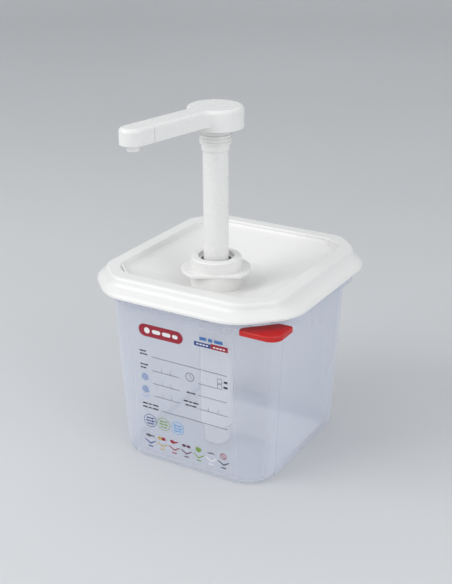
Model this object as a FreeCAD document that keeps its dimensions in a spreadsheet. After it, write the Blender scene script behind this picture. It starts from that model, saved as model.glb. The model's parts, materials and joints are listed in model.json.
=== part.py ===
"""Condiment pump dispenser: a one-sixth gastronorm tub, its lid and a hand pump, in millimetres.

The origin is the centre of the tub's underside. +Z is up and -Y is the front, where the label panel is.
The pump's own axis is vertical, at x = 0 and y = pump_y.
"""
import FreeCAD, Part
import Sketcher
import math
import os
import re

doc = FreeCAD.newDocument("CondimentPump")
sheet = doc.addObject("Spreadsheet::Sheet", "Sizes")

SIZES = [
    # tub
    ("tub_height", 146.5, "underside to top of rim"),
    ("base_half_x", 64.7, "half width of the wall at the underside"),
    ("base_half_y", 69.7, "half depth of the wall at the underside"),
    ("mouth_half_x", 70.9, "half width of the wall at the rim"),
    ("mouth_half_y", 75.9, "half depth of the wall at the rim"),
    ("wall_corner", 21.5, "plan radius of the wall corners"),
    ("wall", 2.0, "wall thickness"),
    ("floor_thick", 2.4, "floor thickness"),
    ("base_edge", 5.0, "radius where wall and floor meet"),
    ("rim_half_x", 81.0, "half of the 162 mm gastronorm width"),
    ("rim_half_y", 88.0, "half of the 176 mm gastronorm depth"),
    ("rim_cut", 34.0, "corner cut of the rim"),
    ("rim_corner", 22.0, "plan radius at the ends of each corner cut"),
    ("rim_plate", 2.2, "thickness of the rim's top plate"),
    ("lip_wall", 2.2, "thickness of the rim's hanging lip"),
    ("lip_bottom", 133.0, "lower edge of the lip at sides and back"),
    ("lip_front", 137.0, "lower edge of the lip at the front"),
    ("panel_half_x", 44.5, "half width of the raised panels at front and back"),
    ("panel_half_y", 47.5, "half width of the raised panels at the sides"),
    ("panel_bottom", 2.0, "lower edge of the panels"),
    ("panel_top", 129.5, "upper edge of the panels"),
    ("panel_rise", 0.7, "how far the front and back panels stand proud"),
    ("side_rise", 0.4, "how far the side panels stand proud"),
    # corner clip
    ("clip_bottom", 133.8, "underside of the clip"),
    ("clip_top", 137.6, "top of the clip"),
    ("clip_x", 85.2, "outer face of the clip at the side"),
    ("clip_y", 86.4, "outer face of the clip at the front"),
    ("clip_front", 31.0, "length of the clip's front face from the corner"),
    ("clip_side", 25.5, "length of the clip's side face from the corner"),
    ("clip_edge", 0.7, "radius of the clip's upper edge"),
    ("diagonal", 0.70711, "cosine of 45 degrees"),
    ("clip_corner", 9.0, "plan radius of the outer corner"),
    ("clip_tip", 2.2, "plan radius of the two tips"),
    ("clip_gap", 0.05, "clearance of the tongue in its slot"),
    ("tongue_depth", 1.2, "how far the tongue enters the corner"),
    ("tongue_half", 11.0, "half length of the tongue"),
    ("tongue_thick", 1.9, "thickness of the tongue"),
    # lid
    ("skirt_half_x", 87.5, "half width at the skirt's lower edge"),
    ("skirt_half_y", 94.5, "half depth at the skirt's lower edge"),
    ("skirt_cut", 33.7, "corner cut of the skirt"),
    ("skirt_corner", 38.0, "plan radius at the ends of the skirt's corner cuts"),
    ("skirt_bottom", 143.5, "lower edge of the skirt"),
    ("crest_half_x", 75.8, "half width of the raised border"),
    ("crest_half_y", 83.3, "half depth of the raised border"),
    ("crest_cut", 20.5, "corner cut of the raised border"),
    ("crest_corner", 19.0, "plan radius of the raised border"),
    ("crest_top", 155.7, "top of the raised border"),
    ("crest_width", 10.5, "flat width of the raised border"),
    ("dish_floor", 139.0, "lowest level of the sunken middle"),
    ("dish_corner", 21.0, "plan radius of the sunken middle"),
    ("lid_wall", 1.8, "thickness of the lid"),
    ("plug_half_x", 68.0, "half width of the rib that enters the tub"),
    ("plug_half_y", 73.0, "half depth of the rib that enters the tub"),
    ("plug_corner", 19.0, "plan radius of that rib"),
    ("plug_bottom", 140.5, "lower edge of that rib"),
    ("rib_wall", 1.6, "thickness of the ribs under the lid"),
    ("seat_gap", 0.05, "clearance between stacked faces"),
    ("neck_foot_radius", 19.4, "radius of the boss under the collar"),
    ("neck_foot_top", 151.4, "top of that boss"),
    ("neck_radius", 15.4, "radius of the neck inside the collar"),
    ("neck_top", 157.0, "top of the neck"),
    ("neck_bore", 12.7, "radius of the hole for the barrel"),
    # locking collar, gasket and barrel
    ("pump_y", -24.0, "pump axis, forward of the tub's middle"),
    ("collar_radius", 19.4, "outer radius of the collar"),
    ("collar_flange", 26.6, "radius of the collar's hand flange"),
    ("flange_thick", 2.8, "thickness of the hand flange"),
    ("flange_ledge", 0.4, "how far the flange's two flats stand out from the collar"),
    ("flange_corner", 4.0, "plan radius at the ends of the flats"),
    ("flange_edge", 0.6, "bevel of the flange's rims"),
    ("flange_turn", 30.0, "how far the collar is turned, in degrees"),
    ("collar_top", 163.5, "top of the collar"),
    ("collar_web", 3.0, "thickness of the collar's top"),
    ("collar_hole", 13.8, "radius of the collar's hole"),
    ("turn_gap", 0.05, "running clearance of the collar"),
    ("collar_edge", 1.0, "bevel of the collar's rims"),
    ("barrel_radius", 12.6, "outer radius of the barrel"),
    ("bore_radius", 11.0, "inner radius of the barrel"),
    ("barrel_bottom", 21.0, "lower end of the barrel"),
    ("barrel_lip", 1.6, "thickness of the lip at the barrel's lower end"),
    ("barrel_flange", 15.2, "radius of the barrel's top flange"),
    ("barrel_flange_thick", 2.2, "thickness of that flange"),
    ("wiper_seat", 11.8, "radius of the wiper's seat in the barrel"),
    ("wiper_height", 2.6, "height of the wiper"),
    ("bush_bottom", 146.0, "lower end of the guide bush"),
    # foot valve
    ("foot_radius", 9.9, "outer radius of the foot"),
    ("foot_bottom", 3.5, "lower end of the foot"),
    ("foot_edge", 2.5, "bevel at the foot's lower edge"),
    ("foot_head", 10.9, "radius of the foot inside the barrel"),
    ("foot_top", 29.0, "upper end of the foot"),
    ("inlet_bore", 3.5, "radius of the inlet hole"),
    ("inlet_cone_low", 9.0, "lower end of the inlet seat cone"),
    ("inlet_cone_high", 12.8, "upper end of the inlet seat cone"),
    ("inlet_chamber", 6.2, "radius of the ball chamber"),
    ("inlet_ball_radius", 4.8, "radius of the inlet ball"),
    ("inlet_ball_z", 12.42, "middle of the inlet ball at rest"),
    ("inlet_cage_low", 18.75, "lower edge of the inlet cage"),
    ("inlet_cage_bore", 4.2, "radius of the hole in the inlet cage"),
    ("inlet_slot", 4.0, "width of the foot's inlet notches"),
    ("foot_groove_low", 25.0, "lower side of the foot's ring groove"),
    ("foot_groove_high", 27.0, "upper side of the foot's ring groove"),
    ("foot_groove", 9.3, "radius at the bottom of that groove"),
    ("foot_ring", 0.8, "cord radius of the foot's sealing ring"),
    ("spring_seat", 30.5, "top face of the cage, where the spring stands"),
    ("spring_boss", 7.5, "radius of the boss inside the spring"),
    ("spring_boss_top", 33.0, "top of that boss"),
    # spring
    ("spring_radius", 8.7, "radius of the spring's helix"),
    ("spring_wire", 0.6, "radius of the spring wire"),
    ("spring_turns", 12, "number of turns"),
    # piston, stem and outlet valve
    ("piston_bottom", 133.0, "underside of the piston at rest"),
    ("piston_top", 145.0, "top of the piston at rest"),
    ("piston_radius", 10.92, "outer radius of the piston"),
    ("piston_spigot", 6.4, "radius of the spigot inside the stem"),
    ("spigot_top", 153.0, "top of that spigot"),
    ("seal_low", 137.0, "lower side of the seal groove"),
    ("seal_high", 141.0, "upper side of the seal groove"),
    ("seal_groove", 8.9, "radius at the bottom of the seal groove"),
    ("seal_radius", 10.96, "outer radius of the piston seal"),
    ("outlet_bore", 3.2, "radius of the hole through the piston"),
    ("outlet_cone_low", 135.5, "lower end of the outlet seat cone"),
    ("outlet_cone_high", 138.5, "upper end of the outlet seat cone"),
    ("outlet_chamber", 5.4, "radius of the outlet ball's chamber"),
    ("outlet_ball_radius", 4.4, "radius of the outlet ball"),
    ("outlet_ball_z", 138.64, "middle of the outlet ball at rest"),
    ("outlet_cage_low", 144.3, "lower edge of the outlet cage"),
    ("outlet_cage_bore", 3.9, "radius of the hole in the outlet cage"),
    ("cage_slot", 2.4, "width of the slots in both cages"),
    ("cage_slot_tall", 4.0, "height of the slots in both cages"),
    ("stem_radius", 9.55, "outer radius of the stem"),
    ("stem_bore", 6.45, "inner radius of the stem"),
    ("stem_top", 269.5, "top of the stem"),
    ("slide_gap", 0.05, "running clearance round the stem"),
    # thread sleeve
    ("sleeve_bottom", 245.6, "lower end of the lock-down sleeve"),
    ("sleeve_step", 251.1, "where its plain band ends and the thread starts"),
    ("sleeve_band", 10.4, "radius of the plain band"),
    ("thread_radius", 12.0, "radius over the thread"),
    ("thread_root", 11.0, "radius at the root of the thread"),
    ("thread_pitch", 2.65, "distance between threads"),
    ("sleeve_spigot", 10.9, "radius of the sleeve's spigot in the head"),
    ("sleeve_spigot_tall", 2.5, "height of that spigot"),
    # head, spout tip and nozzle
    ("head_bottom", 263.0, "underside of the head"),
    ("head_top", 278.5, "top of the head"),
    ("head_radius", 20.9, "radius of the head"),
    ("head_edge", 2.8, "radius of the upper edge of head and arm"),
    ("head_shell", 2.4, "thickness of the head's shell"),
    ("head_boss", 12.6, "radius of the head's inner boss"),
    ("arm_bottom", 267.0, "underside of the arm"),
    ("arm_half", 9.35, "half width of the arm"),
    ("arm_blend", 7.0, "plan radius between arm and head"),
    ("arm_seam", 72.3, "distance from the axis to the tip's seam"),
    ("seam_groove", 0.4, "width and depth of the groove at the tip's seam"),
    ("arm_turn", -10.4, "swivel of the arm from straight ahead, in degrees"),
    ("spout_reach", 84.2, "distance from the axis to the nozzle"),
    ("channel_radius", 3.0, "radius of the channel in the arm"),
    ("channel_z", 273.0, "height of that channel"),
    ("tip_spigot", 4.4, "radius of the tip's spigot in the arm"),
    ("tip_spigot_long", 8.0, "length of that spigot"),
    ("nozzle_radius", 4.45, "outer radius of the nozzle"),
    ("nozzle_bore", 2.4, "inner radius of the nozzle"),
    ("nozzle_bottom", 262.4, "lower end of the nozzle"),
    ("nozzle_top", 270.9, "upper end of the nozzle, inside the tip"),
    ("head_groove_low", 266.3, "lower side of the ring groove at the stem's top"),
    ("head_groove_high", 268.3, "upper side of that groove"),
    ("head_groove", 8.5, "radius at the bottom of that groove"),
    ("head_ring", 0.48, "cord radius of the sealing ring in the head"),
]

for row, (alias, value, meaning) in enumerate(SIZES, start=1):
    sheet.set(f"A{row}", alias)
    sheet.set(f"B{row}", str(value))
    sheet.set(f"C{row}", meaning)
    sheet.setAlias(f"B{row}", alias)
doc.recompute()

parts = []


def bound(text):
    """Turn a formula of plain aliases into an expression on the sheet."""
    return re.sub(r"[a-z][a-z_]+", lambda word: "Sizes." + word[0], text)


def size(text):
    """The present value of such a formula."""
    value = sheet.evalExpression(bound(text))
    return float(getattr(value, "Value", value))


def bind(thing, **formulas):
    """Bind properties of a document object to formulas."""
    for name, text in formulas.items():
        thing.setExpression(name, bound(text))
    return thing


def place(thing, x="0", y="0", z="0", turn=None):
    """Bind an object's position, and its turn about the vertical, to formulas."""
    for axis, text in zip("xyz", (x, y, z)):
        thing.setExpression(f"Placement.Base.{axis}", bound(text))
    if turn:
        thing.setExpression("Placement.Rotation.Angle", bound(turn))
    return thing


def keep(thing, label):
    """Name a finished sub-part and put it on the list of parts."""
    thing.Label = label
    parts.append(thing)
    return thing


def cylinder(name, radius, bottom, top, x="0", y="pump_y"):
    solid = bind(doc.addObject("Part::Cylinder", name), Radius=radius, Height=f"({top}) - ({bottom})")
    return place(solid, x, y, bottom)


def box(name, half_x, half_y, bottom, top, x="0", y="0"):
    solid = doc.addObject("Part::Box", name)
    bind(solid, Length=f"2 * ({half_x})", Width=f"2 * ({half_y})", Height=f"({top}) - ({bottom})")
    return place(solid, f"({x}) - ({half_x})", f"({y}) - ({half_y})", bottom)


def cut(name, base, tool):
    result = doc.addObject("Part::Cut", name)
    result.Base = base
    result.Tool = tool
    return result


def common(name, base, tool):
    result = doc.addObject("Part::Common", name)
    result.Base = base
    result.Tool = tool
    return result


def fuse(name, *shapes):
    result = doc.addObject("Part::MultiFuse", name)
    result.Shapes = list(shapes)
    return result


def edges_where(thing, test):
    """Numbers of the edges whose middle point and direction pass a test."""
    doc.recompute()
    numbers = []
    for number, edge in enumerate(thing.Shape.Edges, start=1):
        middle = edge.valueAt(edge.FirstParameter + (edge.LastParameter - edge.FirstParameter) / 2)
        span = edge.valueAt(edge.LastParameter) - edge.valueAt(edge.FirstParameter)
        if test(middle, span):
            numbers.append(number)
    return numbers


def dress(kind, name, base, radius, test):
    """A Part::Fillet or Part::Chamfer on the edges that pass the test."""
    numbers = edges_where(base, test)
    result = doc.addObject(kind, name)
    result.Base = base
    result.Edges = [(number, size(radius), size(radius)) for number in numbers]
    doc.recompute()
    return result


def upright(middle, span):
    """True for an edge that runs up the part."""
    return abs(span.z) > 1.0 and abs(span.z) > 5 * math.hypot(span.x, span.y)


def lathe(label, points):
    """A PartDesign body turned about the pump's axis from a closed profile of (radius, height)."""
    body = doc.addObject("PartDesign::Body", label)
    sketch = body.newObject("Sketcher::SketchObject", label + "_profile")
    plane = next(item for item in body.Origin.OriginFeatures if item.Role == "XZ_Plane")
    sketch.AttachmentSupport = [(plane, "")]
    sketch.MapMode = "FlatFace"
    corners = [FreeCAD.Vector(size(radius), size(height), 0) for radius, height in points]
    for start, end in zip(corners, corners[1:] + corners[:1]):
        sketch.addGeometry(Part.LineSegment(start, end), False)
    count = len(points)
    for index, (radius, height) in enumerate(points):
        sketch.addConstraint(Sketcher.Constraint("Coincident", index, 2, (index + 1) % count, 1))
        across = sketch.addConstraint(Sketcher.Constraint("DistanceX", -1, 1, index, 1, corners[index].x))
        sketch.setExpression(f"Constraints[{across}]", bound(radius))
        up = sketch.addConstraint(Sketcher.Constraint("DistanceY", -1, 1, index, 1, corners[index].y))
        sketch.setExpression(f"Constraints[{up}]", bound(height))
    turned = body.newObject("PartDesign::Revolution", label + "_turned")
    turned.Profile = sketch
    turned.ReferenceAxis = (sketch, ["V_Axis"])
    turned.Angle = 360
    return place(body, y="pump_y")


def tapered(name, low, high, low_z, high_z):
    """A tapered block. low and high are (half width, front, back) formulas at its two heights."""
    solid = doc.addObject("Part::Wedge", name)
    bind(solid, Xmin=f"-({low[0]})", Xmax=low[0], Zmin=f"-({low[2]})", Zmax=low[1], Ymin=low_z)
    bind(solid, X2min=f"-({high[0]})", X2max=high[0], Z2min=f"-({high[2]})", Z2max=high[1], Ymax=high_z)
    solid.Placement = FreeCAD.Placement(FreeCAD.Vector(), FreeCAD.Rotation(FreeCAD.Vector(1, 0, 0), 90))
    return solid


def cut_corner_block(name, half_x, half_y, corner_cut, corner, bottom, top):
    """A block whose four corners are cut at 45 degrees and rounded."""
    block = box(name + "_block", half_x, half_y, bottom, top)
    cornered = dress("Part::Chamfer", name + "_cornered", block, corner_cut, upright)
    return dress("Part::Fillet", name, cornered, corner, upright)


def diagonal_box(name, half_long, outside, inside, bottom, top):
    """A box square to the front right corner cut, reaching outward and inward from its face."""
    solid = doc.addObject("Part::Box", name)
    bind(solid, Length=f"2 * ({half_long})", Width=f"({outside}) + ({inside})")
    bind(solid, Height=f"({top}) - ({bottom})")
    solid.Placement.Rotation = FreeCAD.Rotation(FreeCAD.Vector(0, 0, 1), 45)
    x = f"rim_half_x - rim_cut / 2 + (({outside}) - ({half_long})) * diagonal"
    y = f"-rim_half_y + rim_cut / 2 - (({outside}) + ({half_long})) * diagonal"
    return place(solid, x, y, bottom)


def forward_cylinder(name, radius, start, end, height):
    """A cylinder lying along -Y, from start to end ahead of the axis."""
    solid = bind(doc.addObject("Part::Cylinder", name), Radius=radius, Height=f"({end}) - ({start})")
    solid.Placement.Rotation = FreeCAD.Rotation(FreeCAD.Vector(1, 0, 0), 90)
    return place(solid, "0", f"-({start})", height)


def make_tub():
    """The tub: a tapered body with a hanging lip round its rim and a raised label panel."""
    low = ("base_half_x", "base_half_y", "base_half_y")
    high = ("mouth_half_x", "mouth_half_y", "mouth_half_y")
    body = tapered("tub_block", low, high, "0", "tub_height")
    body = dress("Part::Fillet", "tub_sides", body, "wall_corner", upright)
    body = dress("Part::Fillet", "tub_body", body, "base_edge", lambda middle, span: abs(middle.z) < 0.01)

    def wall_at(axis, height):
        return f"base_half_{axis} + (mouth_half_{axis} - base_half_{axis}) / tub_height * {height}"

    low = wall_at("y", "panel_bottom") + " + panel_rise"
    high = wall_at("y", "panel_top") + " + panel_rise"
    panels = tapered("front_and_back_panels", ("panel_half_x", low, low), ("panel_half_x", high, high),
                     "panel_bottom", "panel_top")
    low = wall_at("x", "panel_bottom") + " + side_rise"
    high = wall_at("x", "panel_top") + " + side_rise"
    side_panels = tapered("side_panels", (low, "panel_half_y", "panel_half_y"),
                          (high, "panel_half_y", "panel_half_y"), "panel_bottom", "panel_top")

    rim = cut_corner_block("rim_outside", "rim_half_x", "rim_half_y", "rim_cut", "rim_corner",
                           "lip_bottom", "tub_height")
    pocket = cut_corner_block("rim_pocket", "rim_half_x - lip_wall", "rim_half_y - lip_wall",
                              "rim_cut - 0.586 * lip_wall", "rim_corner - lip_wall",
                              "lip_bottom - 1", "tub_height - rim_plate")
    relief = box("front_relief", "rim_half_x", "5", "lip_bottom - 1", "lip_front", y="-mouth_half_y - 6.6")
    lip = cut("rim_lip", cut("rim_shell", rim, pocket), relief)

    low = ("base_half_x - wall", "base_half_y - wall", "base_half_y - wall")
    high = ("mouth_half_x - wall", "mouth_half_y - wall", "mouth_half_y - wall")
    cavity = tapered("cavity_block", low, high, "floor_thick", "tub_height + 0.01")
    cavity = dress("Part::Fillet", "cavity_sides", cavity, "wall_corner - wall", upright)
    cavity = dress("Part::Fillet", "cavity", cavity, "base_edge - wall",
                   lambda middle, span: abs(middle.z - size("floor_thick")) < 0.01)
    slot = diagonal_box("clip_slot", "tongue_half + clip_gap", "1", "tongue_depth + clip_gap",
                        "clip_bottom + 0.9", "clip_bottom + 1 + tongue_thick")
    full = fuse("tub_full", body, panels, side_panels, lip)
    return keep(cut("tub_cut", full, fuse("tub_removed", cavity, slot)), "tub")


def make_corner_clip():
    """The clip that fills the cut front right corner, with a tongue that snaps into the tub."""
    plate = box("clip_plate", "clip_front / 2", "clip_side / 2", "clip_bottom", "clip_top",
                x="clip_x - clip_front / 2", y="-clip_y + clip_side / 2")
    behind = diagonal_box("clip_behind", "60", "clip_gap", "60", "clip_bottom - 1", "clip_top + 1")
    plate = cut("clip_wedge", plate, behind)
    corner = FreeCAD.Vector(size("clip_x"), -size("clip_y"), 0)

    def outer_corner(middle, span):
        return upright(middle, span) and math.hypot(middle.x - corner.x, middle.y - corner.y) < 1

    def other_corner(middle, span):
        return upright(middle, span) and math.hypot(middle.x - corner.x, middle.y - corner.y) > 15

    plate = dress("Part::Fillet", "clip_rounded", plate, "clip_corner", outer_corner)
    plate = dress("Part::Fillet", "clip_tipped", plate, "clip_tip", other_corner)
    plate = dress("Part::Fillet", "clip_body", plate, "clip_edge",
                  lambda middle, span: abs(middle.z - size("clip_top")) < 0.01)
    tongue = diagonal_box("clip_tongue", "tongue_half", "3", "tongue_depth",
                          "clip_bottom + 0.95", "clip_bottom + 0.95 + tongue_thick")
    return keep(fuse("clip_whole", plate, tongue), "corner_clip")


def outline(half_x, half_y, corner_cut, corner, height):
    """A closed wire: a rectangle with its corners cut at 45 degrees and each bend rounded."""
    right = [(half_x, -half_y + corner_cut), (half_x, half_y - corner_cut)]
    top = [(half_x - corner_cut, half_y), (-half_x + corner_cut, half_y)]
    left = [(-half_x, half_y - corner_cut), (-half_x, -half_y + corner_cut)]
    bottom = [(-half_x + corner_cut, -half_y), (half_x - corner_cut, -half_y)]
    bends = [FreeCAD.Vector(x, y, height) for x, y in right + top + left + bottom]
    tangent = corner * math.tan(math.radians(22.5))
    edges = []
    last = None
    for index, bend in enumerate(bends):
        before = (bends[index - 1] - bend).normalize()
        after = (bends[(index + 1) % len(bends)] - bend).normalize()
        inward = (before + after).normalize()
        middle = bend + inward * (corner / math.cos(math.radians(22.5)) - corner)
        arc = (bend + before * tangent, middle, bend + after * tangent)
        if last:
            edges.append(Part.makeLine(last, arc[0]))
        edges.append(Part.Arc(*arc).toShape())
        last = arc[2]
    edges.append(Part.makeLine(last, edges[0].valueAt(edges[0].FirstParameter)))
    return Part.Wire(edges)


def border_outline(spread, height, inset=0.0):
    """The lid's outline between the raised border (spread 0) and the skirt's edge (spread 1)."""
    def between(name):
        return size(f"crest_{name}") + spread * (size(f"skirt_{name}") - size(f"crest_{name}"))

    return outline(between("half_x") - inset, between("half_y") - inset, between("cut") - 0.586 * inset,
                   max(between("corner") - inset, 2.0), height)


def dish_outline(inset, height):
    """The outline of the lid's sunken middle at a distance inside the raised border."""
    corner = size("dish_corner")
    return outline(size("crest_half_x - crest_width") - inset, size("crest_half_y - crest_width") - inset,
                   0.6 * corner, 0.98 * corner, height)


def loft(name, wires):
    solid = doc.addObject("Part::Feature", name)
    solid.Shape = Part.makeLoft(wires, True, True)
    return solid


def make_lid():
    """The lid: a flared skirt, a raised border, a sunken middle and a neck for the pump."""
    top = size("crest_top")
    base = size("skirt_bottom")
    rise = top - base
    # share of the skirt's spread at each share of its height, from the lower edge up
    flare = [(1.0, 0.0), (0.985, 0.11), (0.82, 0.25), (0.55, 0.375), (0.30, 0.49), (0.14, 0.65), (0.05, 0.87)]
    outside = [border_outline(spread, base + rise * share) for spread, share in flare]
    outside += [border_outline(0, top - 0.5, 0.2), border_outline(0, top, 1.2)]
    wall = size("lid_wall")
    inside = [border_outline(spread, base + rise * share - 1.0, 1.2) for spread, share in flare[:5]]
    inside += [border_outline(0.14, base + rise * 0.65 - 1.0, 1.6), border_outline(0, top - wall, wall)]
    shell = cut("lid_shell", loft("lid_outside", outside), loft("lid_inside", inside))

    floor = size("dish_floor")
    deep = top - floor
    # how far in from the border's inner edge the dish is at each share of its depth:
    # a step, then a gentle bowl
    dish = [(0.0, 0.0), (0.8, 0.06), (2.6, 0.25), (5.5, 0.35), (20.0, 0.66), (31.0, 0.85), (42.0, 1.0)]
    hollow = [dish_outline(-0.5, top + 0.2)]
    hollow += [dish_outline(inset, top - deep * share) for inset, share in dish]
    bowl = [dish_outline(-wall, top - wall * 0.4)]
    bowl += [dish_outline(inset - wall * 0.7, top - deep * share - wall) for inset, share in dish]
    shell = cut("lid_dished", fuse("lid_bowled", shell, loft("lid_bowl", bowl)), loft("lid_dish", hollow))

    def ring(name, half_x, half_y, corner_cut, corner, bottom, upper):
        outer = cut_corner_block(name + "_outer", half_x, half_y, corner_cut, corner, bottom, upper)
        inner = cut_corner_block(name + "_inner", f"{half_x} - rib_wall", f"{half_y} - rib_wall",
                                 f"{corner_cut} - 0.586 * rib_wall", f"{corner} - rib_wall",
                                 f"{bottom} - 1", f"{upper} + 1")
        return cut(name, outer, inner)

    plug = ring("lid_plug", "plug_half_x", "plug_half_y", "plug_corner", "plug_corner",
                "plug_bottom", "crest_top - 1")
    seat = ring("lid_seat", "crest_half_x - 0.4", "crest_half_y - 0.4", "crest_cut", "crest_corner",
                "tub_height + seat_gap", "crest_top - 1")
    foot = cylinder("neck_foot", "neck_foot_radius", "dish_floor - lid_wall", "neck_foot_top")
    neck = cylinder("neck", "neck_radius", "dish_floor - lid_wall", "neck_top")
    whole = fuse("lid_whole", shell, plug, seat, foot, neck)
    hole = cylinder("neck_hole", "neck_bore", "dish_floor - 2 * lid_wall", "neck_top + 1")
    return keep(cut("lid_cut", whole, hole), "lid")


BARREL_TOP = "(collar_top - collar_web - turn_gap)"
BARREL_FLANGE_LOW = f"({BARREL_TOP} - barrel_flange_thick)"
WIPER_LOW = f"({BARREL_TOP} - wiper_height)"


def make_collar():
    """The locking collar: a cap round the neck, with a hand flange at its foot that has two flats."""
    inner = "neck_radius + turn_gap"
    low = "neck_foot_top + turn_gap"
    flange_top = f"{low} + flange_thick"
    cap = place(lathe("collar_cap", [
        (inner, low), ("collar_radius", low), ("collar_radius", "collar_top - collar_edge"),
        ("collar_radius - collar_edge", "collar_top"), ("collar_hole", "collar_top"),
        ("collar_hole", "collar_top - collar_web"), (inner, "collar_top - collar_web"),
    ]), y="0")
    disc = cylinder("flange_disc", "collar_flange", low, flange_top, y="0")
    bar = box("flange_bar", "collar_flange + 1", "collar_radius + flange_ledge", f"{low} - 1",
              f"{flange_top} + 1")
    trimmed = common("flange_trimmed", disc, bar)
    lobes = dress("Part::Fillet", "flange_lobes", trimmed, "flange_corner", upright)
    eased = dress("Part::Chamfer", "flange_eased", lobes, "flange_edge",
                  lambda middle, span: not upright(middle, span))
    bore = cylinder("flange_bore", inner, f"{low} - 1", f"{flange_top} + 1", y="0")
    whole = fuse("collar_whole", cap, cut("flange_bored", eased, bore))
    return keep(place(whole, y="pump_y", turn="flange_turn"), "locking_collar")


def make_barrel_group():
    """The barrel, its gasket on the neck, and the bush and wiper that guide the stem."""
    opening = "foot_radius + slide_gap"
    keep(lathe("pump_barrel_body", [
        (opening, "barrel_bottom"), ("barrel_radius", "barrel_bottom"),
        ("barrel_radius", BARREL_FLANGE_LOW), ("barrel_flange", BARREL_FLANGE_LOW),
        ("barrel_flange", BARREL_TOP), ("wiper_seat", BARREL_TOP), ("wiper_seat", WIPER_LOW),
        ("bore_radius", WIPER_LOW), ("bore_radius", "barrel_bottom + barrel_lip"),
        (opening, "barrel_bottom + barrel_lip"),
    ]), "pump_barrel")
    keep(lathe("barrel_gasket_body", [
        ("barrel_radius + seat_gap", "neck_top + seat_gap"), ("neck_radius", "neck_top + seat_gap"),
        ("neck_radius", f"{BARREL_FLANGE_LOW} - seat_gap"),
        ("barrel_radius + seat_gap", f"{BARREL_FLANGE_LOW} - seat_gap"),
    ]), "barrel_gasket")
    running = "stem_radius + slide_gap"
    keep(lathe("guide_bush_body", [
        (running, "bush_bottom"), ("bore_radius - 0.02", "bush_bottom"),
        ("bore_radius - 0.02", f"{WIPER_LOW} - seat_gap"), (running, f"{WIPER_LOW} - seat_gap"),
    ]), "guide_bush")
    keep(lathe("stem_wiper_body", [
        (running, f"{WIPER_LOW} + 1.6"), ("stem_radius + 0.9", WIPER_LOW + " + 0.1"),
        ("wiper_seat - seat_gap", WIPER_LOW + " + 0.1"), ("wiper_seat - seat_gap", f"{BARREL_TOP} - 0.1"),
        ("stem_radius + 0.8", f"{BARREL_TOP} - 0.1"), (running, f"{BARREL_TOP} - 0.5"),
    ]), "stem_wiper")


def slotted(label, body, low):
    """Cut two crossing slots into the lower end of a ball cage, so that the ball cannot close it."""
    upper = f"{low} + cage_slot_tall"
    across = box(label + "_slot_x", "foot_head", "cage_slot / 2", f"{low} - 1", upper, y="pump_y")
    along = box(label + "_slot_y", "cage_slot / 2", "foot_head", f"{low} - 1", upper, y="pump_y")
    return keep(cut(label + "_cut", body, fuse(label + "_slots", across, along)), label)


def ball(label, radius, height):
    solid = bind(doc.addObject("Part::Sphere", label + "_sphere"), Radius=radius)
    return keep(place(solid, y="pump_y", z=height), label)


def sealing_ring(label, radius, cord, height):
    solid = bind(doc.addObject("Part::Torus", label + "_torus"), Radius1=radius, Radius2=cord)
    return keep(place(solid, y="pump_y", z=height), label)


def make_foot_group():
    """The foot valve at the barrel's lower end: body, sealing ring, ball and cage."""
    shoulder = "barrel_bottom + barrel_lip + seat_gap"
    body = lathe("foot_valve_body", [
        ("inlet_bore", "foot_bottom"), ("foot_radius - foot_edge", "foot_bottom"),
        ("foot_radius - foot_edge * 0.3", "foot_bottom + foot_edge * 0.3"),
        ("foot_radius", "foot_bottom + foot_edge"), ("foot_radius", shoulder), ("foot_head", shoulder),
        ("foot_head", "foot_groove_low"), ("foot_groove", "foot_groove_low"),
        ("foot_groove", "foot_groove_high"), ("foot_head", "foot_groove_high"), ("foot_head", "foot_top"),
        ("inlet_chamber", "foot_top"), ("inlet_chamber", "inlet_cone_high"),
        ("inlet_bore", "inlet_cone_low"),
    ])
    notch_top = "foot_bottom + inlet_slot * 0.6"
    across = box("foot_notch_x", "foot_head", "inlet_slot / 2", "foot_bottom - 1", notch_top, y="pump_y")
    along = box("foot_notch_y", "inlet_slot / 2", "foot_head", "foot_bottom - 1", notch_top, y="pump_y")
    keep(cut("foot_cut", body, fuse("foot_notches", across, along)), "foot_valve")
    sealing_ring("foot_seal_ring", "bore_radius - foot_ring - 0.02", "foot_ring",
                 "(foot_groove_low + foot_groove_high) / 2")
    ball("inlet_ball", "inlet_ball_radius", "inlet_ball_z")
    cage = lathe("inlet_cage_body", [
        ("inlet_cage_bore", "inlet_cage_low"), ("inlet_chamber - seat_gap", "inlet_cage_low"),
        ("inlet_chamber - seat_gap", "foot_top + seat_gap"), ("foot_head - 0.1", "foot_top + seat_gap"),
        ("foot_head - 0.1", "spring_seat"), ("spring_boss", "spring_seat"),
        ("spring_boss", "spring_boss_top"), ("inlet_cage_bore", "spring_boss_top"),
    ])
    slotted("inlet_cage", cage, "inlet_cage_low")


def make_spring():
    """The return spring between the inlet cage and the piston."""
    helix = doc.addObject("Part::Helix", "spring_line")
    low = "spring_seat + spring_wire + seat_gap"
    travel = f"(piston_bottom - spring_wire - seat_gap - ({low}))"
    bind(helix, Radius="spring_radius", Height=travel, Pitch=f"{travel} / spring_turns")
    wire = bind(doc.addObject("Part::Circle", "spring_section"), Radius="spring_wire")
    wire.Placement.Rotation = FreeCAD.Rotation(FreeCAD.Vector(1, 0, 0), 90)
    place(wire, "spring_radius", "0", "0")
    coil = doc.addObject("Part::Sweep", "spring_coil")
    coil.Sections = [wire]
    coil.Spine = (helix, ["Edge1"])
    coil.Solid = True
    coil.Frenet = True
    return keep(place(coil, y="pump_y", z=low), "return_spring")


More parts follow.
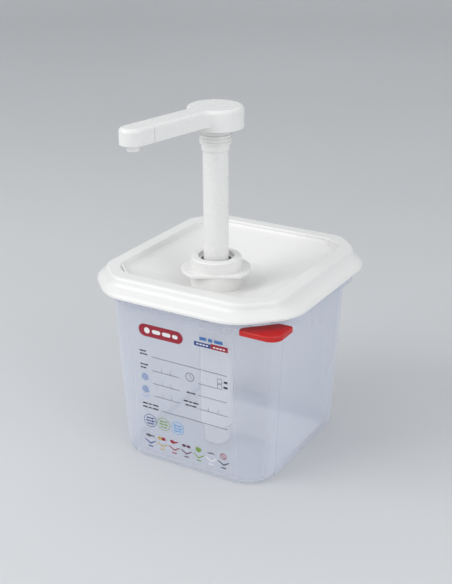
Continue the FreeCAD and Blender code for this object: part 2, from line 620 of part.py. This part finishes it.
def make_plunger_group():
    """Everything that moves down with the stem: piston, seal, outlet valve and stem."""
    keep(lathe("piston_body", [
        ("outlet_bore", "piston_bottom"), ("piston_radius", "piston_bottom"), ("piston_radius", "seal_low"),
        ("seal_groove", "seal_low"), ("seal_groove", "seal_high"), ("piston_radius", "seal_high"),
        ("piston_radius", "piston_top"), ("piston_spigot", "piston_top"), ("piston_spigot", "spigot_top"),
        ("outlet_chamber", "spigot_top"), ("outlet_chamber", "outlet_cone_high"),
        ("outlet_bore", "outlet_cone_low"),
    ]), "piston")
    keep(lathe("piston_seal_body", [
        ("seal_groove + seat_gap", "seal_low + seat_gap"), ("piston_radius - 0.5", "seal_low + seat_gap"),
        ("seal_radius", "seal_low + 0.8"), ("seal_radius", "seal_high - 0.8"),
        ("piston_radius - 0.5", "seal_high - seat_gap"), ("seal_groove + seat_gap", "seal_high - seat_gap"),
    ]), "piston_seal")
    ball("outlet_ball", "outlet_ball_radius", "outlet_ball_z")
    cage = lathe("outlet_cage_body", [
        ("outlet_cage_bore", "outlet_cage_low"), ("outlet_chamber - seat_gap", "outlet_cage_low"),
        ("outlet_chamber - seat_gap", "spigot_top - 0.1"), ("outlet_cage_bore", "spigot_top - 0.1"),
    ])
    slotted("outlet_cage", cage, "outlet_cage_low")
    keep(lathe("stem_body", [
        ("stem_bore", "piston_top + seat_gap"), ("stem_radius", "piston_top + seat_gap"),
        ("stem_radius", "head_groove_low"), ("head_groove", "head_groove_low"),
        ("head_groove", "head_groove_high"), ("stem_radius", "head_groove_high"),
        ("stem_radius", "stem_top"), ("stem_bore", "stem_top"),
    ]), "stem")


def make_sleeve():
    """The sleeve under the head: a plain band below and a lock-down thread above."""
    inner = "stem_radius + slide_gap"
    top = "head_bottom - seat_gap"
    points = [(inner, "sleeve_bottom"), ("sleeve_band - 0.4", "sleeve_bottom"),
              ("sleeve_band", "sleeve_bottom + 0.6"), ("sleeve_band", "sleeve_step")]
    turns = int((size(top) - size("sleeve_step")) / size("thread_pitch"))
    for turn in range(turns):
        low = f"sleeve_step + {turn} * thread_pitch"
        points += [("thread_radius", f"{low} + 0.25"), ("thread_radius", f"{low} + 1.35"),
                   ("thread_root", f"{low} + 1.9"), ("thread_root", f"{low} + 2.5")]
    points += [("thread_root", top), ("sleeve_spigot", top),
               ("sleeve_spigot", "head_bottom + sleeve_spigot_tall"),
               (inner, "head_bottom + sleeve_spigot_tall")]
    return keep(lathe("thread_sleeve_body", points), "thread_sleeve")


def is_top_edge(middle, span):
    return abs(middle.z - size("head_top")) < 0.01


def make_head():
    """The head: a hollow disc with the arm that carries the outlet channel."""
    disc = cylinder("head_disc", "head_radius", "head_bottom", "head_top", y="0")
    room = cylinder("head_room", "head_radius - head_shell", "head_bottom - 1", "head_top - 2 * head_shell",
                    y="0")
    arm = box("arm_block", "arm_half", "arm_seam / 2", "arm_bottom", "head_top", y="-arm_seam / 2")
    boss = cylinder("head_boss", "head_boss", "head_bottom", "head_top - head_shell", y="0")
    outside = fuse("head_and_arm", disc, arm)
    radius = size("head_radius")

    def is_junction(middle, span):
        return upright(middle, span) and abs(math.hypot(middle.x, middle.y) - radius) < 0.5 and middle.y < 0

    outside = dress("Part::Fillet", "head_blended", outside, "arm_blend", is_junction)
    seam = size("arm_seam")
    outside = dress("Part::Fillet", "head_rounded", outside, "head_edge",
                    lambda middle, span: is_top_edge(middle, span) and middle.y > -seam + 0.1)
    inner_arm = box("arm_core", "arm_half - 0.2", "arm_seam / 4", "arm_bottom", "head_top - head_shell",
                    y="-arm_seam / 4")
    hollow = cut("head_hollow", outside, room)
    full = fuse("head_full", hollow, boss, inner_arm)
    sleeve_seat = cylinder("sleeve_seat", "sleeve_spigot + seat_gap", "head_bottom - 1",
                           "head_bottom + sleeve_spigot_tall + seat_gap", y="0")
    socket = cylinder("stem_socket", "stem_radius + slide_gap", "head_bottom - 1", "stem_top + seat_gap",
                      y="0")
    chamber = cylinder("head_chamber", "stem_bore", "head_bottom", "channel_z + channel_radius + 0.5", y="0")
    channel = forward_cylinder("arm_channel", "channel_radius", "0", "arm_seam + 1", "channel_z")
    seat = forward_cylinder("tip_seat", "tip_spigot + seat_gap", "arm_seam - tip_spigot_long - 0.1",
                            "arm_seam + 1", "channel_z")
    bored = cut("head_bored", full, fuse("head_bores", sleeve_seat, socket, chamber, channel, seat))
    return keep(place(bored, y="pump_y", turn="arm_turn"), "pump_head")


def make_tip():
    """The spout tip: a rounded end that turns the channel down, with a spigot into the arm."""
    seam = "arm_seam + seat_gap"
    start = seam + " + seam_groove"
    block = box("tip_block", "arm_half", f"(spout_reach - ({start})) / 2", "arm_bottom", "head_top",
                y=f"-(spout_reach + {start}) / 2")
    root = box("tip_root", "arm_half - seam_groove", "seam_groove", "arm_bottom + seam_groove",
               "head_top - seam_groove", y=f"-({seam} + seam_groove)")
    end = cylinder("tip_end", "arm_half", "arm_bottom", "head_top", y="-spout_reach")
    whole = fuse("tip_sharp", block, end)
    whole.Refine = True
    edge = size(start)
    whole = dress("Part::Fillet", "tip_rounded", whole, "head_edge",
                  lambda middle, span: is_top_edge(middle, span) and middle.y < -edge - 0.1)
    spigot = forward_cylinder("tip_spigot", "tip_spigot", "arm_seam - tip_spigot_long", "arm_seam + 2",
                              "channel_z")
    solid = fuse("tip_solid", whole, root, spigot)
    along = forward_cylinder("tip_channel", "channel_radius", "arm_seam - tip_spigot_long - 1",
                             "spout_reach", "channel_z")
    down = cylinder("tip_drop", "channel_radius", "arm_bottom", "channel_z + channel_radius + 0.4",
                    y="-spout_reach")
    seat = cylinder("nozzle_seat", "nozzle_radius + seat_gap", "arm_bottom - 1", "nozzle_top + seat_gap",
                    y="-spout_reach")
    bored = cut("tip_bored", solid, fuse("tip_bores", along, down, seat))
    return keep(place(bored, y="pump_y", turn="arm_turn"), "spout_tip")


def make_nozzle():
    """The short outlet tube under the tip."""
    tube = cylinder("nozzle_tube", "nozzle_radius", "nozzle_bottom", "nozzle_top", y="-spout_reach")
    hole = cylinder("nozzle_hole", "nozzle_bore", "nozzle_bottom - 1", "nozzle_top + 1", y="-spout_reach")
    return keep(place(cut("nozzle_cut", tube, hole), y="pump_y", turn="arm_turn"), "nozzle")


make_tub()
make_corner_clip()
make_lid()
make_collar()
make_barrel_group()
make_foot_group()
make_spring()
make_plunger_group()
make_sleeve()
make_head()
make_tip()
make_nozzle()
sealing_ring("head_seal_ring", "stem_radius - head_ring", "head_ring",
             "(head_groove_low + head_groove_high) / 2")

doc.recompute()
failed = [item.Label for item in doc.Objects if "Invalid" in item.State or "Error" in item.State]
if failed:
    raise RuntimeError(f"not built: {failed}")
for part in parts:
    if part.Shape.isNull() or not part.Shape.isValid() or len(part.Shape.Solids) < 1:
        raise RuntimeError(f"{part.Label} has no valid solid")

os.makedirs("parts", exist_ok=True)
for part in parts:
    part.Shape.exportStep(f"parts/{part.Label}.step")
    limits = part.Shape.BoundBox
    print(f"{part.Label:16} {part.Shape.Volume:10.0f} mm3 {len(part.Shape.Solids)} solid "
          f"z {limits.ZMin:.1f} to {limits.ZMax:.1f}")
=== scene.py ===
"""Condiment pump dispenser: materials, printed label, lights and camera round the CAD frame.

Everything is in metres in the row frame: +Z is up and -Y is the front, where the label panel is.
"""
import json
import math

import bmesh
import bpy
from mathutils import Matrix, Vector


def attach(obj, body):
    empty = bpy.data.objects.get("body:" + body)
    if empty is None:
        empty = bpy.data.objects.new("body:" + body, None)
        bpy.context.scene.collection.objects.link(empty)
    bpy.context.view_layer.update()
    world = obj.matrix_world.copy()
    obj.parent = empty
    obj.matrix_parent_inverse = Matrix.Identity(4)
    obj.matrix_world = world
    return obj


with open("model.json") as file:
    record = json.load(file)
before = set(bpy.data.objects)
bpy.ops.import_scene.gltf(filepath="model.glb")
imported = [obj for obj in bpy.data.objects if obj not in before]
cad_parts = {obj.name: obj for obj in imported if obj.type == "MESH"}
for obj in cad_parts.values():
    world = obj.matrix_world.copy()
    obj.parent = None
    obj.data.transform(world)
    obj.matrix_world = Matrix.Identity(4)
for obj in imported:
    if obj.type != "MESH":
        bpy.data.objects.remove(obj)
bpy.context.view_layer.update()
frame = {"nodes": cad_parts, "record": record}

MM = 0.001
PLASTIC_IOR = 1.49


# ---------------------------------------------------------------- materials

class Shader:
    """A material's node tree, with short calls for adding nodes and joining them."""

    def __init__(self, name):
        self.material = bpy.data.materials.new(name)
        self.material.use_nodes = True
        self.tree = self.material.node_tree
        self.tree.nodes.clear()
        self.place = self.add("ShaderNodeTexCoord").outputs["Object"]

    def add(self, kind, settings=None, **inputs):
        """A node; an input may be a plain value or another node's output. Spaces in names are underscores."""
        node = self.tree.nodes.new(kind)
        for name, value in (settings or {}).items():
            setattr(node, name, value)
        for name, value in inputs.items():
            self.put(node.inputs[name.replace("_", " ")], value)
        return node

    def put(self, socket, value):
        """Join an output to the socket, or set the socket to a plain value or colour."""
        if isinstance(value, bpy.types.NodeSocket):
            self.tree.links.new(value, socket)
        elif isinstance(value, tuple) and len(value) == 3 and socket.type == "RGBA":
            socket.default_value = (*value, 1.0)
        else:
            socket.default_value = value

    def noise(self, size, detail, rough, stretch=(1, 1, 1)):
        """Noise whose features measure about `size` metres, stretched along the axes."""
        scaled = self.add("ShaderNodeMapping", Vector=self.place, Scale=stretch)
        texture = self.add("ShaderNodeTexNoise", Vector=scaled.outputs["Vector"], Scale=1.0 / size,
                           Detail=detail, Roughness=rough)
        return texture.outputs["Fac"]

    def ramp(self, fac, low, high, start=0.3, end=0.7):
        """A value between low and high as fac runs from start to end."""
        node = self.add("ShaderNodeMapRange", {"clamp": True}, Value=fac)
        for name, value in (("From Min", start), ("From Max", end), ("To Min", low), ("To Max", high)):
            node.inputs[name].default_value = value
        return node.outputs["Result"]

    def tint(self, fac, first, second):
        """A colour between first and second."""
        node = self.add("ShaderNodeMix", {"data_type": "RGBA"})
        colours = [socket for socket in node.inputs if socket.type == "RGBA"]
        self.put(node.inputs["Factor"], fac)
        self.put(colours[0], first)
        self.put(colours[1], second)
        return next(socket for socket in node.outputs if socket.type == "RGBA")

    def bump(self, height, depth, under=None):
        """A bump of `depth` metres, over another bump if one is given."""
        node = self.add("ShaderNodeBump", Height=height, Distance=depth, Strength=1.0)
        if under:
            self.put(node.inputs["Normal"], under)
        return node.outputs["Normal"]

    def finish(self, surface):
        output = self.add("ShaderNodeOutputMaterial")
        self.put(output.inputs["Surface"], surface)
        return self.material


def moulded_plastic(name, colour, shade, rough, grain):
    """Injection moulded plastic: flow marks, an uneven gloss, a fine grain and faint sink marks."""
    shader = Shader(name)
    flow = shader.noise(0.05, 1.0, 0.5, (1, 1, 0.35))
    fine = shader.noise(0.003, 1.0, 0.5)
    wear = shader.noise(0.014, 2.0, 0.5)
    base = shader.tint(shader.ramp(flow, 0.0, 1.0, 0.2, 0.8), colour, shade)
    gloss = shader.ramp(wear, rough * 0.95, rough * 1.08, 0.2, 0.8)
    sink = shader.bump(flow, 0.00012)
    bsdf = shader.add("ShaderNodeBsdfPrincipled", Base_Color=base, Roughness=gloss, IOR=PLASTIC_IOR,
                      Normal=shader.bump(fine, grain, under=sink))
    return shader.finish(bsdf.outputs["BSDF"])


def frosted_plastic(name, colour, shade, clear, glow):
    """Natural polypropylene: part of the light goes straight through, part is scattered and part reflected."""
    shader = Shader(name)
    flow = shader.noise(0.05, 2.0, 0.5, (1, 1, 0.3))
    fine = shader.noise(0.004, 1.0, 0.5)
    base = shader.tint(shader.ramp(flow, 0.0, 1.0, 0.35, 0.65), colour, shade)
    bump = shader.bump(fine, 0.000002)
    skin = shader.add("ShaderNodeBsdfPrincipled", Base_Color=base, IOR=PLASTIC_IOR, Normal=bump,
                      Roughness=shader.ramp(flow, 0.24, 0.34))
    through = shader.add("ShaderNodeBsdfTranslucent", Color=base, Normal=bump)
    body = shader.add("ShaderNodeMixShader", Fac=glow)
    shader.put(body.inputs[1], skin.outputs["BSDF"])
    shader.put(body.inputs[2], through.outputs["BSDF"])
    gap = shader.add("ShaderNodeBsdfTransparent", Color=(0.98, 0.985, 1.0))
    edge = shader.add("ShaderNodeLayerWeight", Blend=0.3, Normal=bump)
    open_share = shader.ramp(edge.outputs["Facing"], clear, clear * 0.6, 0.1, 1.0)
    whole = shader.add("ShaderNodeMixShader", Fac=open_share)
    shader.put(whole.inputs[1], body.outputs["Shader"])
    shader.put(whole.inputs[2], gap.outputs["BSDF"])
    return shader.finish(whole.outputs["Shader"])


def metal(name, colour, rough, stretch):
    """Bright drawn or ground steel, with its grain along one axis."""
    shader = Shader(name)
    grain = shader.noise(0.0006, 2.0, 0.6, stretch)
    bsdf = shader.add("ShaderNodeBsdfPrincipled", Metallic=1.0, Base_Color=colour,
                      Roughness=shader.ramp(grain, rough * 0.7, rough * 1.4),
                      Normal=shader.bump(grain, 0.000006))
    return shader.finish(bsdf.outputs["BSDF"])


def seal_rubber(name, colour):
    """Dull moulded rubber with a mottled surface."""
    shader = Shader(name)
    mottle = shader.noise(0.0015, 4.0, 0.6)
    base = shader.tint(shader.ramp(mottle, 0.0, 1.0), colour, tuple(channel * 1.35 for channel in colour))
    bsdf = shader.add("ShaderNodeBsdfPrincipled", Base_Color=base, Roughness=0.72,
                      Normal=shader.bump(mottle, 0.00004))
    return shader.finish(bsdf.outputs["BSDF"])


def ink(name, colour):
    """Printed ink: matt, a little uneven in strength."""
    shader = Shader(name)
    dots = shader.noise(0.0004, 2.0, 0.6)
    paler = tuple(channel * 0.92 + 0.015 for channel in colour)
    base = shader.tint(shader.ramp(dots, 0.0, 1.0, 0.4, 0.75), colour, paler)
    bsdf = shader.add("ShaderNodeBsdfPrincipled", Base_Color=base, Roughness=0.45,
                      Normal=shader.bump(dots, 0.000004))
    return shader.finish(bsdf.outputs["BSDF"])


def floor_paint():
    """Pale matt floor, very slightly cloudy."""
    shader = Shader("studio_floor")
    cloud = shader.noise(0.6, 2.0, 0.5)
    base = shader.tint(shader.ramp(cloud, 0.0, 1.0), (0.60, 0.61, 0.62), (0.62, 0.63, 0.64))
    bsdf = shader.add("ShaderNodeBsdfPrincipled", Base_Color=base, Roughness=0.7)
    return shader.finish(bsdf.outputs["BSDF"])


MATERIALS = {
    "tub_plastic": frosted_plastic("frosted_tub", (0.87, 0.895, 0.95), (0.86, 0.885, 0.94), 0.77, 0.55),
    "clip_red": moulded_plastic("clip_red", (0.56, 0.010, 0.008), (0.50, 0.008, 0.007), 0.17, 0.000002),
    "lid_white": moulded_plastic("lid_white", (0.80, 0.795, 0.78), (0.785, 0.78, 0.765), 0.32, 0.000002),
    "pump_white": moulded_plastic("pump_white", (0.81, 0.805, 0.79), (0.80, 0.795, 0.78), 0.27, 0.000001),
    # the barrel's white is brighter than the pump's and lid's white: painted light, so that it shows bright
    # through the tub
    "barrel_plastic": moulded_plastic("barrel_white_painted_bright", (0.92, 0.92, 0.91), (0.90, 0.90, 0.89), 0.3, 0.000002),
    "seal_grey": seal_rubber("seal_rubber", (0.10, 0.10, 0.11)),
    "ball_steel": metal("ball_steel", (0.62, 0.63, 0.65), 0.12, (1, 1, 1)),
    "spring_steel": metal("spring_steel", (0.55, 0.56, 0.58), 0.28, (1, 1, 6)),
}

INKS = {
    "black": (0.012, 0.012, 0.016),
    "grey": (0.10, 0.11, 0.13),
    "red": (0.33, 0.004, 0.022),
    "deep_blue": (0.012, 0.045, 0.22),
    "blue": (0.05, 0.17, 0.46),
    "sky": (0.09, 0.34, 0.72),
    "green": (0.19, 0.33, 0.05),
    "yellow": (0.50, 0.35, 0.08),
    "purple": (0.10, 0.02, 0.06),
    "white": (0.86, 0.86, 0.87),
}


# ---------------------------------------------------------------- printed label

PANEL_FOOT = 70.4            # how far the panel's face is from the middle at the floor, in millimetres
PANEL_LEAN = 6.2 / 146.5     # how much further forward it is per millimetre of height
INK_PROUD = 0.06             # how far ink stands off the panel, in millimetres
WHITE_PROUD = 0.10           # white is printed over the other inks
INK_SUNK = -0.1              # where the back of a printed plate is, inside the panel


def on_panel(across, up, proud):
    """A point on the label panel, in metres: across and up along the face, and proud of it, in millimetres."""
    normal = Vector((0, -1, -PANEL_LEAN)).normalized()
    face = Vector((across, -(PANEL_FOOT + PANEL_LEAN * up), up))
    return (face + normal * proud) * MM


class Print:
    """Flat printed shapes in one ink, each a thin closed plate let into the panel's face."""

    def __init__(self, ink_name, proud=INK_PROUD):
        self.name = ink_name
        self.proud = proud
        self.mesh = bmesh.new()

    def shape(self, outline, hole=None):
        """A plate from an outline, with an optional hole of as many points."""
        rings = []
        for points in (outline, hole) if hole else (outline,):
            for proud in (self.proud, INK_SUNK):
                rings.append([self.mesh.verts.new(on_panel(x, z, proud)) for x, z in points])
        front, back = rings[0], rings[1]
        count = len(outline)
        for index in range(count):
            after = (index + 1) % count
            self.mesh.faces.new((front[index], back[index], back[after], front[after]))
            if hole:
                inner, inner_back = rings[2], rings[3]
                self.mesh.faces.new((inner[after], inner_back[after], inner_back[index], inner[index]))
                self.mesh.faces.new((front[index], front[after], inner[after], inner[index]))
                self.mesh.faces.new((back[after], back[index], inner_back[index], inner_back[after]))
        if not hole:
            self.mesh.faces.new(front)
            self.mesh.faces.new(reversed(back))

    def line(self, start, end, width=0.35):
        """A straight line from start to end."""
        a, b = Vector(start), Vector(end)
        side = (b - a).normalized().orthogonal() * (width / 2)
        self.shape([tuple(a + side), tuple(a - side), tuple(b - side), tuple(b + side)])

    def disc(self, middle, radius, sides=28, stretch=1.0):
        """A filled circle, or an ellipse stretch times as tall as it is wide."""
        self.shape(round_points(middle, radius, sides, stretch))

    def ring(self, middle, radius, width, sides=40):
        """A circle's outline, `width` thick inwards from the radius."""
        self.shape(round_points(middle, radius, sides), round_points(middle, radius - width, sides))

    def words(self, left, up, width, height=1.15):
        """A line of small print: short strokes of uneven length with gaps, like words seen from afar."""
        strokes, gap = (0.30, 0.18, 0.36), 0.08
        start = left
        for share in strokes:
            length = width * share
            self.shape(block(start, start + length, up, up + height))
            start += length + width * gap

    def make(self, colour):
        """Turn the shapes into one piece that rides on the tub."""
        bmesh.ops.recalc_face_normals(self.mesh, faces=self.mesh.faces)
        data = bpy.data.meshes.new("print_" + self.name)
        self.mesh.to_mesh(data)
        self.mesh.free()
        data.materials.append(ink("ink_" + self.name, colour))
        piece = bpy.data.objects.new("print_" + self.name, data)
        bpy.context.scene.collection.objects.link(piece)
        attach(piece, "tub")


def round_points(middle, radius, sides, stretch=1.0):
    """Points round an ellipse, stretch times as tall as it is wide."""
    turn = 2 * math.pi / sides
    x, y = middle
    return [(x + radius * math.cos(turn * index), y + stretch * radius * math.sin(turn * index))
            for index in range(sides)]


def stadium(left, right, low, high, sides=12):
    """A bar with half-round ends."""
    radius = (high - low) / 2
    points = []
    for end, first in ((right - radius, -math.pi / 2), (left + radius, math.pi / 2)):
        for index in range(sides + 1):
            angle = first + math.pi * index / sides
            points.append((end + radius * math.cos(angle), low + radius + radius * math.sin(angle)))
    return points


def block(left, right, low, high):
    """A rectangle's corners."""
    return [(left, low), (right, low), (right, high), (left, high)]


def snowflake(ink_print, middle, reach):
    """Six arms, each with a pair of twigs, round a small hub."""
    ink_print.disc(middle, reach * 0.13, 6)
    for arm in range(6):
        angle = math.radians(60 * arm + 30)
        out = Vector((math.cos(angle), math.sin(angle)))
        ink_print.line(Vector(middle) + out * reach * 0.2, Vector(middle) + out * reach, 0.42)
        for side in (-1, 1):
            twig = math.radians(60 * arm + 30 + side * 38)
            root = Vector(middle) + out * reach * 0.52 + Vector((-out.y, out.x)) * side * 0.36
            ink_print.line(root, root + Vector((math.cos(twig), math.sin(twig))) * reach * 0.34, 0.34)


def date_line(ink_print, left, right, up):
    """A rule to write on, with two upright ticks for a date."""
    ink_print.line((left, up), (right, up))
    for share in (0.34, 0.67):
        across = left + (right - left) * share
        ink_print.line((across, up + 0.3), (across, up + 3.6), 0.3)


def tray_mark(ink_print, middle, up):
    """The open V, like a tray's corner, under each food mark."""
    half = 4.6
    ink_print.shape([(middle - half, up + 1.7), (middle - half - 0.1, up + 0.9), (middle, up - 2.3),
                     (middle + half + 0.1, up + 0.9), (middle + half, up + 1.7), (middle, up - 1.2)])


def print_label():
    """The write-on label on the front panel: badge, colour bars, rules, snowflakes, approval and food marks."""
    prints = {name: Print(name) for name in INKS if name != "white"}
    prints["white"] = Print("white", WHITE_PROUD)

    # the badge: a red pill with plain white shapes in it
    prints["red"].shape(stadium(-38.0, 1.2, 108.9, 119.1))
    white = prints["white"]
    white.disc((-30.5, 114.0), 2.5)
    for left, right in ((-26.0, -18.5), (-17.0, -9.5), (-8.0, -3.2)):
        white.shape(stadium(left, right, 112.4, 115.6, 8))

    prints["blue"].words(15.8, 117.0, 19.5, 2.6)
    prints["deep_blue"].shape(block(11.0, 24.9, 111.6, 115.0))
    prints["red"].shape(block(25.1, 39.6, 111.6, 115.8))
    for left in (13.0, 27.3):
        for offset in (0.0, 2.7, 5.4, 8.1):
            white.shape(block(left + offset, left + offset + 1.9, 112.9, 113.9))

    grey = prints["grey"]
    black = prints["black"]
    grey.line((-27.4, 92.1), (38.1, 92.1), 0.4)
    for up in (80.3, 69.1, 58.2):
        date_line(grey, -27.5, -3.2, up)
    for left, up, width in ((-38.2, 95.2, 5.4), (-38.2, 92.5, 6.4), (-38.2, 83.6, 6.6), (-38.2, 80.7, 5.0),
                            (-38.2, 49.2, 14.2), (-38.2, 46.0, 14.0), (2.8, 69.2, 7.4),
                            (-0.3, 61.2, 13.0), (1.2, 58.0, 9.5)):
        black.words(left, up, width)
    # a clock face with two hands
    grey.ring((6.0, 83.3), 3.7, 0.45)
    grey.line((6.0, 83.5), (6.0, 85.6), 0.35)
    grey.line((6.3, 83.1), (7.6, 82.4), 0.35)
    grey.line((13.0, 79.8), (29.6, 79.8))
    grey.line((12.7, 69.6), (37.9, 69.6))
    date_line(grey, 12.5, 38.4, 57.8)
    grey.line((-21.5, 46.5), (37.9, 46.5), 0.4)
    # two boxes to tick, with a word beside each
    left, right, half, rim = 29.9, 33.9, 2.0, 0.3
    for up in (86.4, 81.8):
        inside = block(left + rim, right - rim, up - half + rim, up + half - rim)
        grey.shape(block(left, right, up - half, up + half), inside)
    black.shape(block(35.6, 38.6, 85.6, 87.3))
    black.shape(block(35.2, 38.6, 81.2, 82.9))

    snowflake(prints["blue"], (-34.8, 73.3), 3.5)
    snowflake(prints["blue"], (-34.9, 62.4), 3.5)
    for across, up in ((-37.2, 57.0), (-35.0, 56.0), (-32.8, 57.2)):
        prints["sky"].disc((across, up), 0.45, 10, 1.3)

    for across, colour in ((-32.3, "deep_blue"), (-19.9, "green"), (-7.0, "sky")):
        badge = prints[colour]
        badge.ring((across, 34.9), 5.7, 0.4)
        for row, width in ((36.5, 6.2), (34.0, 7.6), (31.6, 5.4)):
            badge.words(across - width / 2, row, width, 1.2)

    food_marks(prints)
    for name, colour in INKS.items():
        prints[name].make(colour)


def food_marks(prints):
    """Seven small signs for kinds of food along the panel's lower edge."""
    up = 15.6
    spacing = 11.1
    columns = [-33.2 + spacing * index for index in range(7)]
    for middle, colour in zip(columns, ("deep_blue", "yellow", "red", "purple", "green", "white", "black")):
        tray_mark(prints[colour], middle, up)
        prints[colour].words(middle - 2.0, up - 4.9, 4.0, 1.1)

    fish, cheese, meat, game, leaf, shell, none = columns
    mark = up + 5.4
    # fish: a lens-shaped body and a forked tail
    body = [(fish - 4.3, mark), (fish - 2.6, mark + 1.1), (fish - 0.4, mark + 1.3), (fish + 2.0, mark + 0.3),
            (fish + 3.9, mark + 1.3), (fish + 3.3, mark), (fish + 3.9, mark - 1.3), (fish + 2.0, mark - 0.3),
            (fish - 0.4, mark - 1.3), (fish - 2.6, mark - 1.1)]
    prints["grey"].shape(body)
    # two slices of a loaf
    for offset in (-2.1, 1.4):
        slice_shape = [(cheese + offset - 1.5, mark - 1.3), (cheese + offset + 1.5, mark - 1.3),
                       (cheese + offset + 1.8, mark + 0.5), (cheese + offset + 1.1, mark + 1.5),
                       (cheese + offset - 1.1, mark + 1.5), (cheese + offset - 1.8, mark + 0.5)]
        prints["red" if offset > 0 else "yellow"].shape(slice_shape)
    # a joint of meat with its bone
    prints["red"].shape([(meat - 3.6, mark + 0.9), (meat - 3.0, mark - 0.9), (meat - 0.9, mark - 1.5),
                         (meat + 1.0, mark - 0.6), (meat + 3.9, mark + 0.7), (meat + 3.7, mark + 1.5),
                         (meat + 0.7, mark + 0.7), (meat - 1.2, mark + 1.6), (meat - 2.8, mark + 1.6)])
    # a pair of beans
    for offset in (-1.9, 2.1):
        prints["purple"].disc((game + offset, mark), 1.75, 18, 0.7)
    # a round lettuce with a notch
    head = round_points((leaf, mark + 0.3), 2.5, 22)
    prints["green"].shape(head[:5] + [(leaf + 0.4, mark + 0.9)] + head[7:])
    # an egg cup's wavy line
    prints["grey"].shape([(shell - 3.6, mark - 0.9), (shell - 2.2, mark + 0.7), (shell - 0.7, mark + 0.1),
                          (shell + 0.7, mark + 1.2), (shell + 2.4, mark + 0.5), (shell + 3.8, mark - 1.1),
                          (shell + 2.3, mark - 0.3), (shell + 0.8, mark + 0.3), (shell - 0.7, mark - 0.8),
                          (shell - 2.2, mark - 0.3)])
    # a crossed ring: none of these
    prints["red"].ring((none, mark + 0.6), 2.7, 0.55)
    prints["red"].line((none - 1.35, mark + 1.95), (none + 1.35, mark - 0.75), 0.55)


# ---------------------------------------------------------------- scene

def paint_frame():
    """Each CAD node takes the material of its slot in the record."""
    slots = {part["node"]: part["material_slot"] for part in frame["record"]["subparts"]}
    for name, node in frame["nodes"].items():
        node.data.materials.clear()
        node.data.materials.append(MATERIALS[slots[name]])


def lamp(name, place, aim, size, power, colour=(1, 1, 1)):
    """A soft rectangular lamp of `power` watts at a place, turned to face a point."""
    data = bpy.data.lights.new(name, "AREA")
    data.shape = "RECTANGLE"
    data.size, data.size_y = size
    data.energy = power
    data.color = colour
    light = bpy.data.objects.new(name, data)
    bpy.context.scene.collection.objects.link(light)
    light.location = place
    light.rotation_euler = (Vector(aim) - Vector(place)).to_track_quat("-Z", "Y").to_euler()


def make_studio():
    """A pale floor that sweeps up into a low wall all round, a soft even sky and two large soft lamps."""
    flat, bend, wall, steps, sides = 2.2, 0.9, 1.6, 24, 96
    profile = [(flat / 2, 0.0), (flat, 0.0)]
    for step in range(1, steps + 1):
        angle = math.pi / 2 * step / steps
        profile.append((flat + bend * math.sin(angle), bend * (1 - math.cos(angle))))
    profile.append((flat + bend, wall))

    sweep = bmesh.new()
    rings = []
    for radius, height in profile:
        circle = round_points((0.0, 0.0), radius, sides)
        rings.append([sweep.verts.new((x, y, height)) for x, y in circle])
    sweep.faces.new(rings[0]).smooth = True
    for lower, upper in zip(rings, rings[1:]):
        for side in range(sides):
            after = (side + 1) % sides
            face = sweep.faces.new((lower[side], upper[side], upper[after], lower[after]))
            face.smooth = True
    data = bpy.data.meshes.new("studio_floor")
    sweep.to_mesh(data)
    sweep.free()
    data.materials.append(floor_paint())
    floor = bpy.data.objects.new("studio_floor", data)
    bpy.context.scene.collection.objects.link(floor)

    world = bpy.data.worlds.new("studio_sky")
    bpy.context.scene.world = world
    world.use_nodes = True
    sky = world.node_tree.nodes["Background"]
    sky.inputs["Color"].default_value = (0.96, 0.975, 1.0, 1)
    sky.inputs["Strength"].default_value = 0.80

    middle = (0, 0, 0.13)
    lamp("key", (-0.66, -0.80, 0.80), middle, (0.9, 0.9), 7.8)
    lamp("fill", (1.08, -0.34, 0.52), middle, (0.9, 0.9), 4.6, (0.98, 0.99, 1.0))


def make_camera():
    """The camera, aimed at a point near the middle of the object from the front right and above."""
    azimuth, elevation, roll = math.radians(30.10), math.radians(22.53), math.radians(-0.10)
    distance = 0.8688
    aim = Vector((-0.0040, -0.0024, 0.1244))
    back = Vector((math.sin(azimuth) * math.cos(elevation), -math.cos(azimuth) * math.cos(elevation),
                   math.sin(elevation)))
    data = bpy.data.cameras.new("camera")
    data.lens = 67.86
    data.clip_start, data.clip_end = 0.01, 20
    camera = bpy.data.objects.new("camera", data)
    bpy.context.scene.collection.objects.link(camera)
    turn = (-back).to_track_quat("-Z", "Y").to_matrix() @ Matrix.Rotation(roll, 3, "Z")
    camera.matrix_world = Matrix.Translation(aim + back * distance) @ turn.to_4x4()
    bpy.context.scene.camera = camera


paint_frame()
print_label()
make_studio()
make_camera()
bpy.context.scene.view_settings.view_transform = "Standard"
